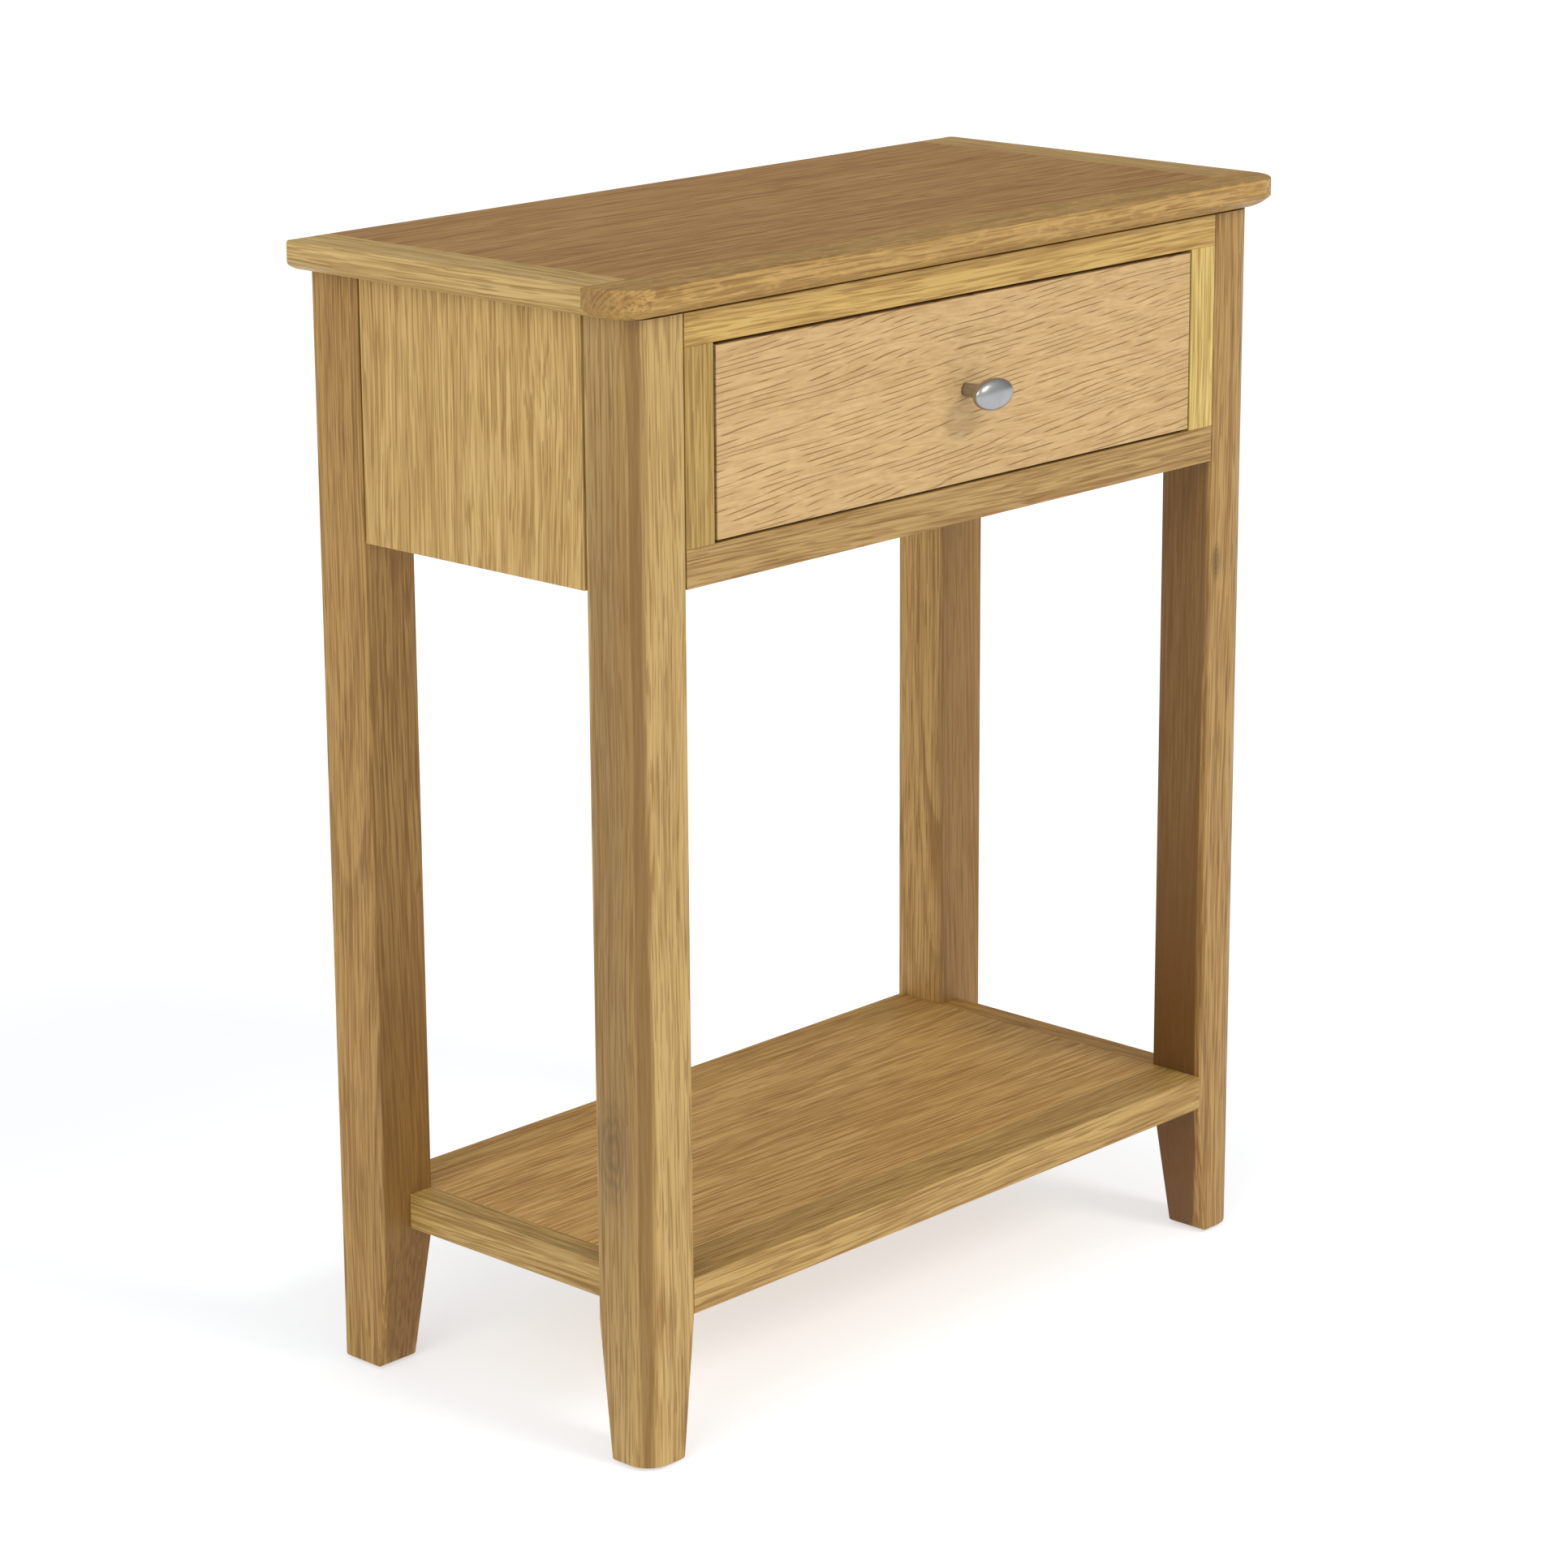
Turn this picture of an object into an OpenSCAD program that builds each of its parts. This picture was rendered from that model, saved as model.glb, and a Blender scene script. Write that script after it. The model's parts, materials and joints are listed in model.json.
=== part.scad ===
// Side table with one drawer and a low shelf, in oak.
// +X is the user's right, +Y is towards the wall, +Z is up.
// The origin is on the floor, under the middle of the whole table's box, knob included.

/* [Overall] */
// Height from the floor to the tabletop
total_h = 800; // [700:1:960]
// Width across the outer faces of the legs
body_w = 634; // [500:1:800]
// Depth across the outer faces of the legs
body_d = 302; // [250:1:380]

/* [Tabletop] */
// Thickness of the tabletop
top_t = 22; // [20:0.5:30]
// How far the tabletop stands out over the sides of the legs
top_side_over = 20; // [10:0.5:30]
// How far the tabletop stands out over the front of the legs
top_front_over = 14; // [8:0.5:22]
// How far the tabletop stands out over the back of the legs
top_back_over = 5; // [0:0.5:20]
// Width of the boards that frame the tabletop
top_frame_w = 40; // [36:1:60]
// Plan radius of the tabletop's two front corners
top_front_r = 30; // [26:0.5:40]
// Width cut off the tabletop's two back corners, in plan
top_back_cut = 4; // [2:0.5:12]
// Width of the curved bevel under the tabletop's edge
bevel_w = 22; // [12:0.5:24]
// Height of the curved bevel under the tabletop's edge
bevel_h = 8.8; // [5:0.1:9.5]

/* [Legs] */
// Side of the square leg
leg_s = 45; // [40:1:60]
// Side of the square foot, at the floor
foot_s = 35; // [26:1:40]
// Radius down the outer corner of each front leg
leg_corner_r = 18; // [6:0.5:20]
// Radius along the leg's other long corners
leg_ease = 1.2; // [0.5:0.1:3]
// Height of the chamfer round the foot's underside
foot_ease = 2; // [1:0.5:4]

/* [Apron and face frame] */
// Height of the apron, from its underside to the tabletop
apron_h = 179; // [150:1:220]
// Thickness of the side panels
side_t = 18; // [15:0.5:22]
// Shadow gap between a side panel and a leg
side_gap = 2; // [1:0.5:4]
// Thickness of the back panel
back_t = 15; // [14:0.5:20]
// How far the back panel is set in from the back of the legs
back_in = 3; // [1:0.5:6]
// Thickness of the face frame, front to back
face_t = 20; // [18:0.5:26]
// Height of the rail over the drawer
over_rail_h = 22; // [20:0.5:40]
// Height of the rail under the drawer
under_rail_h = 26; // [24:0.5:40]
// Width of each upright beside the drawer
stile_w = 26; // [20:0.5:40]
// Fine joint line between the face frame and the legs
joint_line = 0.8; // [0.4:0.1:1.5]

/* [Shelf] */
// Height of the shelf's upper face over the floor
shelf_top = 128; // [100:1:240]
// Thickness of the shelf
shelf_t = 25; // [22:0.5:32]
// Width of the shelf's front and back boards
shelf_board_w = 40; // [36:1:60]
// Width of the shelf's side boards
shelf_side_w = 20.5; // [18:0.5:30]
// How far the shelf's back edge is set in from the back of the legs
shelf_back_in = 3; // [0:0.5:10]

/* [Drawer] */
// Gap beside the drawer front
front_side_gap = 2.4; // [1.5:0.1:4]
// Gap over the drawer front
front_top_gap = 2.4; // [1.5:0.1:4]
// Gap under the drawer front
front_low_gap = 2; // [1.5:0.1:4]
// Thickness of the drawer front
front_t = 18; // [16:0.5:24]
// Thickness of the drawer's sides and back
box_t = 12; // [10:0.5:15]
// Thickness of the drawer's bottom
bottom_t = 6; // [4:0.5:8]
// Height of the bottom's groove over the lower edge of the sides
bottom_up = 8; // [6:0.5:12]
// Room between the closed drawer and the back panel
rear_room = 9; // [6:0.5:20]
// Number of dovetails on each side of the drawer
tails = 3; // [2:1:4]

/* [Drawer's ways] */
// Width of the runners and kickers
way_w = 45; // [36:1:60]
// Thickness of the runners
runner_t = 18; // [15:0.5:24]
// Height of the kickers
kicker_h = 30; // [26:0.5:40]
// Height of the side guides
guide_h = 20; // [15:1:30]
// Sideways play between the drawer and each guide
guide_play = 0.8; // [0.4:0.1:1.5]
// Play between the drawer's sides and the runners
run_play = 0.3; // [0.2:0.1:0.8]
// Room between the drawer's sides and the kickers
kick_room = 3; // [1:0.5:6]

/* [Knob and turn button] */
// Width of the knob's oval head
knob_w = 38; // [30:0.5:50]
// Height of the knob's oval head
knob_h = 22; // [16:0.5:36]
// Thickness of the knob's head
knob_t = 12; // [8:0.5:16]
// How far the knob stands out from the drawer front
knob_reach = 31; // [24:0.5:40]
// Radius of the knob's stem at the drawer front
stem_r = 4.6; // [4:0.1:8]
// Radius of the knob's stem where it enters the head
stem_top_r = 6.4; // [5:0.1:10]
// Radius of the screw that holds the knob
knob_screw_r = 2; // [1.5:0.25:2.5]
// Width of the turn button
button_w = 16; // [12:0.5:24]
// Thickness of the turn button
button_t = 8; // [6:0.5:12]
// Radius of the turn button's pivot screw
pivot_r = 2.2; // [1.5:0.1:3]

/* [Joinery and fixings] */
// Thickness of tenons and of the panels' tongues in the legs
tenon_t = 8; // [6:0.5:10]
// Length of the face frame's tenons in the legs
tenon_l = 25; // [18:0.5:28]
// Length of the panels' tongues in the legs
tongue_l = 10; // [6:0.5:14]
// Shoulder left over and under each tenon
shoulder = 4; // [2:0.5:6]
// Thickness of the tongues between boards
slip_t = 6; // [4:0.5:7]
// Length of the tongues between boards
slip_l = 8; // [5:0.5:10]
// Clearance round tenons, tongues and screws
fit_gap = 0.1; // [0.05:0.05:0.3]
// Radius of the shelf's dowels
dowel_r = 3; // [2.5:0.5:4]
// Length of the shelf's dowels
dowel_l = 30; // [20:1:40]
// Radius of the wood screws
screw_r = 2; // [1.5:0.25:2.5]
// Thickness of the foot glides
glide_t = 2; // [1.5:0.5:4]
// Radius of the foot glides
glide_r = 9; // [6:0.5:12]

/* [Hidden] */
$fn = 64;

// Colours of the oak, the drawer's pale inner wood and the metal
oak = [0.72, 0.56, 0.34];
oak_panel = [0.76, 0.61, 0.38];
oak_front = [0.84, 0.69, 0.47];
inner_wood = [0.82, 0.72, 0.55];
nickel = [0.66, 0.66, 0.64];
zinc = [0.72, 0.70, 0.62];
felt_brown = [0.30, 0.24, 0.19];

// Heights
top_z = total_h - top_t;                // underside of the tabletop
apron_z = top_z - apron_h;              // underside of the apron
open_z0 = apron_z + under_rail_h;       // drawer opening, lower edge
open_z1 = top_z - over_rail_h;          // drawer opening, upper edge
shelf_z = shelf_top - shelf_t;          // underside of the shelf
taper_drop = 3;                         // the legs' taper starts this far under the shelf
slip_rise = 8;                          // height of a slip tongue's groove over a board's underside

// Widths: half sizes, measured from the middle
leg_x = body_w / 2;
leg_in_x = leg_x - leg_s;
frame_x = leg_in_x - joint_line;
open_x = frame_x - stile_w;
top_x = leg_x + top_side_over;

// Depths
front_y = -(body_d + top_back_over - max(knob_reach, top_front_over)) / 2;  // front of the legs
back_y = front_y + body_d;                                                  // back of the legs
top_front_y = front_y - top_front_over;
top_back_y = back_y + top_back_over;
back_panel_y = back_y - back_in - back_t;       // inner face of the back panel
face_back_y = front_y + face_t;                 // back of the face frame
stile_tenon_l = 8;                              // tenons on the ends of the uprights

// Drawer
drawer_x = open_x - front_side_gap;
drawer_z0 = open_z0 + front_low_gap;
front_z1 = open_z1 - front_top_gap;
kicker_z = top_z - kicker_h;
box_z1 = kicker_z - kick_room;                  // upper edge of the drawer's sides
drawer_end_y = back_panel_y - rear_room;        // back end of the drawer's sides
inner_front_y = front_y + front_t;              // inner face of the drawer front
box_in_x = drawer_x - box_t;                    // inner face of a drawer side
groove_d = box_t / 2;                           // depth of the bottom's groove
bottom_z = drawer_z0 + bottom_up;
housing_d = 5;                                  // depth of the housings for the drawer back
back_end_in = 10;                               // drawer back's distance from the ends of the sides
back_drop = 5;                                  // drawer back's upper edge, under that of the sides
drawer_back_y1 = drawer_end_y - back_end_in;
drawer_back_y0 = drawer_back_y1 - box_t;
drawer_back_z0 = bottom_z + bottom_t;
tail_face = 6;                                  // wood left between the dovetails and the drawer's face
tail_l = front_t - tail_face;
tail_pitch = (box_z1 - drawer_z0) / tails;
tail_share = 0.62;                              // dovetail's widest part, as a share of the pitch
tail_wide = tail_pitch * tail_share;
tail_slope = 1 / 7;                             // dovetail's side slope
tail_root = 0.5;                                // how far a dovetail runs back into its side board
bottom_play = 0.2;                              // drawer bottom's play in the depth of its grooves

// Runners, guides and kickers
runner_z1 = drawer_z0 - run_play;
way_side_gap = 1;                               // room between a way and the leg's line
way_x1 = frame_x - way_side_gap;
way_x0 = way_x1 - way_w;
guide_x0 = drawer_x + guide_play;
stub_gap = 1;                                   // wood left between a stub tenon and the uprights' tenons
stub_l = (face_t - tenon_t) / 2 - stub_gap;
stub_in = 7;                                    // stub tenon's shoulder at each side of the way
stub_w = way_w - 2 * stub_in;
kicker_clear = 1.5;                             // the closed drawer front stays this clear of the kickers
kicker_y0 = max(face_back_y, inner_front_y + kicker_clear);
stub_runner_z = runner_z1 - runner_t / 2;       // middle height of the runner's stub tenons
stub_kicker_z = (open_z1 + top_z) / 2;          // middle height of the kicker's stub tenons

// Knob and turn button
knob_z = (drawer_z0 + front_z1) / 2;
knob_hole_play = 0.25;                          // radial play of the knob's screw in the drawer front
turning_gap = 0.05;                             // radial gap of a pivot, and of a screw in its thread
button_play = 0.3;
pivot_down = 12;                                // pivot's distance under the drawer back's upper edge
tip_room = 6;                                   // room between the upright button and the tabletop
pivot_z = box_z1 - back_drop - pivot_down;
button_tip_z = top_z - tip_room;
button_y1 = drawer_back_y0 - button_play;
button_y0 = button_y1 - button_t;

// Shelf
shelf_front_in = front_y + shelf_board_w;       // seam behind the front board
shelf_back_y = back_y - shelf_back_in;
shelf_back_seam = shelf_back_y - shelf_board_w;
shelf_slip_z = shelf_z + shelf_t / 2 - slip_t / 2;
leg_back_face = front_y + leg_s;                // back face of the front legs
leg_front_face = back_y - leg_s;                // front face of the back legs
shelf_side_mid = leg_in_x + shelf_side_w / 2;
shelf_tenon_w = 18;
shelf_tenon_in = 8;                             // shelf tenon's distance from the leg's outer face

// Tabletop's boards
panel_x = top_x - top_frame_w;
panel_y0 = top_front_y + top_frame_w;
panel_y1 = top_back_y - top_frame_w;
top_slip_z = top_z + slip_rise;
groove_stop = 16;                               // grooves stop this far inside the tabletop's edge

// ---------- small helpers ----------

// A block between two opposite corners
module block(lo, hi) {
    translate(lo) cube(hi - lo);
}

// What is built on the left is copied to the right
module mirrored() {
    mirror([1, 0, 0]) children();
}

// A block grown by g on every side, for the socket that takes a tongue or tenon
module socket(lo, hi, g = fit_gap) {
    block(lo - [g, g, g], hi + [g, g, g]);
}

// Countersunk wood screw: its head's face at z = 0, its point down at z = -l, with a cross recess
module wood_screw(r, l) {
    head_r = r * 2;
    recess = r * 0.9;
    arm_l = head_r * 0.6;
    arm_w = 0.8;
    tip_r = 0.2;
    difference() {
        rotate_extrude()
            polygon([[0, 0], [head_r, 0], [r, -r], [r, -(l - 2 * r)], [tip_r, -l], [0, -l]]);
        for (a = [0, 90]) rotate(a)
            block([-arm_l, -arm_w / 2, -recess], [arm_l, arm_w / 2, 1]);
    }
}

// Hole and countersink for that screw, with clearance all round
module wood_screw_hole(r, l) {
    g = fit_gap;
    rotate_extrude()
        polygon([[0, 1], [r * 2 + g, 1], [r * 2 + g, 0], [r + g, -r - g], [r + g, -l - g], [0, -l - g]]);
}

// Slotted pan-head screw: underside of the head at z = 0, shank down to z = -l
module pan_screw(r, l, head_t) {
    head_r = 2 * r;
    slot_l = head_r * 0.7;
    slot_w = 1;
    difference() {
        union() {
            translate([0, 0, -l]) cylinder(r = r, h = l);
            cylinder(r = head_r, h = head_t);
        }
        block([-slot_l, -slot_w / 2, head_t / 2], [slot_l, slot_w / 2, head_t + 1]);
    }
}

// ---------- tabletop ----------

// Plan of the tabletop: a rectangle with round front corners, its back corners cut off a little
module top_plan() {
    r = top_front_r;
    c = top_back_cut;
    for (s = [-1, 1])
        translate([s * (top_x - r), top_front_y + r]) circle(r = r);
    translate([-top_x + r, top_front_y]) square([2 * (top_x - r), 2 * r]);
    polygon([[-top_x, top_front_y + r], [top_x, top_front_y + r], [top_x, top_back_y - c],
             [top_x - c, top_back_y], [-top_x + c, top_back_y], [-top_x, top_back_y - c]]);
}

// Section of what the bevel takes away. x runs inwards from the edge, y up from the underside.
// The wood left is one arc that flattens out towards the underside.
module bevel_section() {
    arc_r = (bevel_w * bevel_w + bevel_h * bevel_h) / (2 * bevel_h);
    difference() {
        translate([-2, -2]) square([bevel_w + 2, bevel_h + 2]);
        translate([bevel_w, arc_r]) circle(r = arc_r, $fn = 200);
        translate([-3, bevel_h]) square([bevel_w + 3, 4]);
    }
}

// A straight run of the bevel's cutter along +Y, for an edge at x = 0 with its wood on +X
module bevel_run(l) {
    rotate([90, 0, 0]) translate([0, 0, -l]) linear_extrude(l) bevel_section();
}

// Whole tabletop before it is divided into boards. Its back edge, at the wall, has no bevel.
module top_form() {
    r = top_front_r;
    side_l = top_back_y - top_front_y - r;
    difference() {
        translate([0, 0, top_z]) linear_extrude(top_t) top_plan();
        for (s = [0, 1]) mirror([s, 0, 0]) {
            translate([-top_x, top_front_y + r, top_z]) bevel_run(side_l + 1);
            translate([-top_x + r, top_front_y + r, top_z]) rotate(180)
                rotate_extrude(angle = 90) translate([r, 0]) mirror([1, 0]) bevel_section();
        }
        translate([top_x - r, top_front_y, top_z]) rotate(90) bevel_run(2 * (top_x - r));
    }
}

// Part of the tabletop's form between two plan corners
module top_board(x0, y0, x1, y1) {
    intersection() {
        top_form();
        block([x0, y0, top_z - 1], [x1, y1, total_h + 1]);
    }
}

// Centre panel with a tongue all round, drilled for the fixing screws
module top_centre_panel() {
    color(oak) difference() {
        union() {
            block([-panel_x, panel_y0, top_z], [panel_x, panel_y1, total_h]);
            block([-panel_x - slip_l, panel_y0 - slip_l, top_slip_z],
                  [panel_x + slip_l, panel_y1 + slip_l, top_slip_z + slip_t]);
        }
        for (p = top_screw_places) translate(p) mirror([0, 0, 1]) wood_screw_hole(screw_r, top_screw_l);
    }
}

// Front board of the tabletop, over its whole width, with a stopped groove for the tongues behind it
module top_front_rail() {
    color(oak) difference() {
        top_board(-top_x - 1, top_front_y - 1, top_x + 1, panel_y0);
        socket([-top_x + groove_stop, panel_y0 - slip_l, top_slip_z],
               [top_x - groove_stop, panel_y0 + slip_l, top_slip_z + slip_t]);
    }
}

// Back board of the tabletop, between the end boards, with a tongue on each end
module top_back_rail() {
    color(oak) difference() {
        union() {
            block([-panel_x, panel_y1, top_z], [panel_x, top_back_y, total_h]);
            block([-panel_x - slip_l, panel_y1 + slip_l + 2 * fit_gap, top_slip_z],
                  [panel_x + slip_l, top_back_y - groove_stop, top_slip_z + slip_t]);
        }
        socket([-panel_x - 1, panel_y1 - 1, top_slip_z],
               [panel_x + 1, panel_y1 + slip_l, top_slip_z + slip_t]);
    }
}

// End board of the tabletop, from the front board to the back edge, with a tongue on its front end
module top_left_cleat() {
    color(oak) difference() {
        union() {
            top_board(-top_x - 1, panel_y0, -panel_x, top_back_y + 1);
            block([-top_x + groove_stop, panel_y0 - slip_l, top_slip_z],
                  [-panel_x - slip_l - 2 * fit_gap, panel_y0 + 1, top_slip_z + slip_t]);
        }
        socket([-panel_x - slip_l, panel_y0 - slip_l - 1, top_slip_z],
               [-panel_x + 1, top_back_y - groove_stop, top_slip_z + slip_t]);
    }
}

module top_right_cleat() {
    mirrored() top_left_cleat();
}

// ---------- legs ----------

// Leg with its outer corner at x = y = 0. Its two inner faces taper under the shelf.
module leg_blank(corner_r) {
    e = foot_ease;
    taper_z = shelf_z - taper_drop;
    profile = [[e, glide_t], [foot_s - e, glide_t], [foot_s, glide_t + e], [leg_s, taper_z],
               [leg_s, top_z], [0, top_z], [0, glide_t + e]];
    intersection() {
        translate([0, 0, glide_t]) linear_extrude(top_z - glide_t) leg_plan(corner_r);
        rotate([90, 0, 0]) translate([0, 0, -leg_s - 1]) linear_extrude(leg_s + 2) polygon(profile);
        rotate([90, 0, 90]) translate([0, 0, -1]) linear_extrude(leg_s + 2) polygon(profile);
    }
}

// Plan of the leg: a square with one round corner and three eased ones
module leg_plan(corner_r) {
    far = leg_s - leg_ease;
    difference() {
        square(leg_s);
        difference() {
            translate([-1, -1]) square(corner_r + 1);
            translate([corner_r, corner_r]) circle(r = corner_r);
        }
        for (p = [[far, far, 0], [leg_ease, far, 90], [far, leg_ease, -90]])
            translate([p[0], p[1]]) rotate(p[2]) difference() {
                square(leg_ease + 1);
                circle(r = leg_ease);
            }
    }
}

// Mortises that every leg has: one for its side panel's tongue, one for the shelf's tenon,
// two for the shelf's dowels, and the glide's pin hole
module leg_common_mortises() {
    tongue_x = (side_t - tenon_t) / 2;
    socket([tongue_x, leg_s - tongue_l, apron_z + shoulder],
           [tongue_x + tenon_t, leg_s + 1, top_z - shoulder]);
    socket([leg_s - shelf_tenon_l, shelf_tenon_in, shelf_tenon_z],
           [leg_s + 1, shelf_tenon_in + shelf_tenon_w, shelf_tenon_z + tenon_t]);
    for (z = dowel_heights)
        translate([leg_x - shelf_side_mid, leg_s - dowel_l / 2 - fit_gap, z]) rotate([-90, 0, 0])
            cylinder(r = dowel_r + fit_gap, h = dowel_l);
    translate([foot_s / 2, foot_s / 2, 0])
        cylinder(r = glide_pin_r + fit_gap, h = glide_pin_l + glide_t + fit_gap);
}

// Left front leg, with mortises for the two front rails
module front_leg() {
    y0 = (face_t - tenon_t) / 2;
    difference() {
        leg_blank(leg_corner_r);
        leg_common_mortises();
        for (z = [[open_z1, top_z], [apron_z, open_z0]])
            socket([leg_s - tenon_l, y0, z[0] + shoulder], [leg_s + 1, y0 + tenon_t, z[1] - shoulder]);
    }
}

// Left back leg, measured from its own outer corner with y towards the front,
// with a mortise for the back panel's tongue
module back_leg() {
    y0 = back_in + (back_t - tenon_t) / 2;
    difference() {
        leg_blank(leg_ease);
        leg_common_mortises();
        socket([leg_s - tongue_l, y0, apron_z + shoulder], [leg_s + 1, y0 + tenon_t, top_z - shoulder]);
    }
}

module leg_front_left() {
    color(oak) translate([-leg_x, front_y, 0]) front_leg();
}

module leg_front_right() {
    mirrored() leg_front_left();
}

module leg_back_left() {
    color(oak) translate([-leg_x, back_y, 0]) mirror([0, 1, 0]) back_leg();
}

module leg_back_right() {
    mirrored() leg_back_left();
}

// ---------- apron ----------

// Side panel, flush with the legs, with a shadow gap and a tongue at each end
module side_panel_left() {
    x0 = -leg_x + (side_t - tenon_t) / 2;
    color(oak_panel) union() {
        block([-leg_x, leg_back_face + side_gap, apron_z],
              [-leg_x + side_t, leg_front_face - side_gap, top_z]);
        block([x0, leg_back_face - tongue_l, apron_z + shoulder],
              [x0 + tenon_t, leg_front_face + tongue_l, top_z - shoulder]);
    }
}

module side_panel_right() {
    mirrored() side_panel_left();
}

// Stub tenons of one way, past both of its ends; grown by g where they are sockets
module way_stubs(z, g) {
    x0 = -(way_x0 + way_x1) / 2 - stub_w / 2;
    block([x0 - g, face_back_y - stub_l - g, z - tenon_t / 2 - g],
          [x0 + stub_w + g, back_panel_y + stub_l + g, z + tenon_t / 2 + g]);
}

// Sockets for the stub tenons of both runners or both kickers
module stub_sockets(z) {
    way_stubs(z, fit_gap);
    mirrored() way_stubs(z, fit_gap);
}

// Back panel between the back legs, with a tongue at each end
module back_panel() {
    y0 = back_panel_y + (back_t - tenon_t) / 2;
    color(oak_panel) difference() {
        union() {
            block([-frame_x, back_panel_y, apron_z], [frame_x, back_panel_y + back_t, top_z]);
            block([-leg_in_x - tongue_l, y0, apron_z + shoulder],
                  [leg_in_x + tongue_l, y0 + tenon_t, top_z - shoulder]);
        }
        stub_sockets(stub_runner_z);
        stub_sockets(stub_kicker_z);
    }
}

// Rail of the face frame between two heights, with a tenon at each end
module face_rail(z0, z1) {
    y0 = front_y + (face_t - tenon_t) / 2;
    block([-frame_x, front_y, z0], [frame_x, face_back_y, z1]);
    block([-leg_in_x - tenon_l, y0, z0 + shoulder], [leg_in_x + tenon_l, y0 + tenon_t, z1 - shoulder]);
}

// Tenons on both ends of one upright; grown by g where they are sockets
module stile_tenons(g) {
    y0 = front_y + (face_t - tenon_t) / 2;
    x0 = -frame_x + shoulder;
    block([x0 - g, y0 - g, open_z0 - stile_tenon_l - g],
          [-open_x - shoulder + g, y0 + tenon_t + g, open_z1 + stile_tenon_l + g]);
}

module front_over_rail() {
    color(oak) difference() {
        face_rail(open_z1, top_z);
        stile_tenons(fit_gap);
        mirrored() stile_tenons(fit_gap);
        stub_sockets(stub_kicker_z);
    }
}

module front_under_rail() {
    color(oak) difference() {
        face_rail(apron_z, open_z0);
        stile_tenons(fit_gap);
        mirrored() stile_tenons(fit_gap);
        stub_sockets(stub_runner_z);
    }
}

module front_left_stile() {
    color(oak) union() {
        block([-frame_x, front_y, open_z0], [-open_x, face_back_y, open_z1]);
        stile_tenons(0);
    }
}

module front_right_stile() {
    mirrored() front_left_stile();
}

// ---------- drawer's ways ----------

guide_screw_l = guide_h + 10;
guide_screw_end = 45;                   // guide screws' distance from the guides' ends
guide_screw_x = (guide_x0 + way_x1) / 2;
guide_screw_places = [
    for (s = [-1, 1]) for (y = [face_back_y + guide_screw_end, back_panel_y - guide_screw_end])
        [s * guide_screw_x, y, runner_z1 + guide_h]
];
top_screw_l = kicker_h + 10;
top_screw_end = 50;                     // top screws' distance from the kickers' ends
top_screw_places = [
    for (s = [-1, 1]) for (f = [0, 0.5, 1])
        [s * (way_x0 + way_x1) / 2,
         face_back_y + top_screw_end + f * (back_panel_y - face_back_y - 2 * top_screw_end), kicker_z]
];

// Runner under the drawer's side, from the front rail to the back panel
module runner_left() {
    color(inner_wood) difference() {
        union() {
            block([-way_x1, face_back_y, runner_z1 - runner_t], [-way_x0, back_panel_y, runner_z1]);
            way_stubs(stub_runner_z, 0);
        }
        for (p = guide_screw_places) translate(p) wood_screw_hole(screw_r, guide_screw_l);
    }
}

module runner_right() {
    mirrored() runner_left();
}

// Strip on the runner that keeps the drawer straight
module guide_left() {
    color(inner_wood) difference() {
        block([-way_x1, face_back_y, runner_z1], [-guide_x0, back_panel_y, runner_z1 + guide_h]);
        for (p = guide_screw_places) translate(p) wood_screw_hole(screw_r, guide_screw_l);
    }
}

module guide_right() {
    mirrored() guide_left();
}

// Bar over the drawer's side, which stops the open drawer from tipping and carries the tabletop's screws
module kicker_left() {
    color(inner_wood) difference() {
        union() {
            block([-way_x1, kicker_y0, kicker_z], [-way_x0, back_panel_y, top_z]);
            way_stubs(stub_kicker_z, 0);
        }
        for (p = top_screw_places) translate(p) mirror([0, 0, 1]) wood_screw_hole(screw_r, top_screw_l);
    }
}

module kicker_right() {
    mirrored() kicker_left();
}

module guide_screws() {
    color(zinc) for (p = guide_screw_places) translate(p) wood_screw(screw_r, guide_screw_l);
}

module top_fixing_screws() {
    color(zinc) for (p = top_screw_places) translate(p) mirror([0, 0, 1]) wood_screw(screw_r, top_screw_l);
}

// Two blocks on the runners that the closed drawer's sides rest against
module drawer_stops() {
    stop_play = 0.3;
    stop_h = 20;
    color(inner_wood) for (s = [0, 1]) mirror([s, 0, 0])
        block([-drawer_x, drawer_end_y + stop_play, runner_z1],
              [-box_in_x, back_panel_y, runner_z1 + stop_h]);
}

// ---------- shelf ----------

shelf_tenon_l = 18;                     // length of the shelf's tenons in the legs
shelf_tenon_z = shelf_z + (shelf_t - tenon_t) / 2;
dowel_spread = 6;                       // dowels' distance from the middle of the shelf's thickness
dowel_heights = [shelf_z + shelf_t / 2 - dowel_spread, shelf_z + shelf_t / 2 + dowel_spread];
side_slip_in = 2;                       // side tongues stop this far from the legs
slip_end = 1;                           // front and back tongues stop this far inside the panel's ends

// Shelf's centre panel, with tongues on its four edges
module shelf_panel() {
    color(oak) union() {
        block([-leg_in_x, shelf_front_in, shelf_z], [leg_in_x, shelf_back_seam, shelf_top]);
        block([-leg_in_x + slip_end, shelf_front_in - slip_l, shelf_slip_z],
              [leg_in_x - slip_end, shelf_back_seam + slip_l, shelf_slip_z + slip_t]);
        block([-leg_in_x - slip_l, leg_back_face + side_slip_in, shelf_slip_z],
              [leg_in_x + slip_l, leg_front_face - side_slip_in, shelf_slip_z + slip_t]);
    }
}

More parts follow.
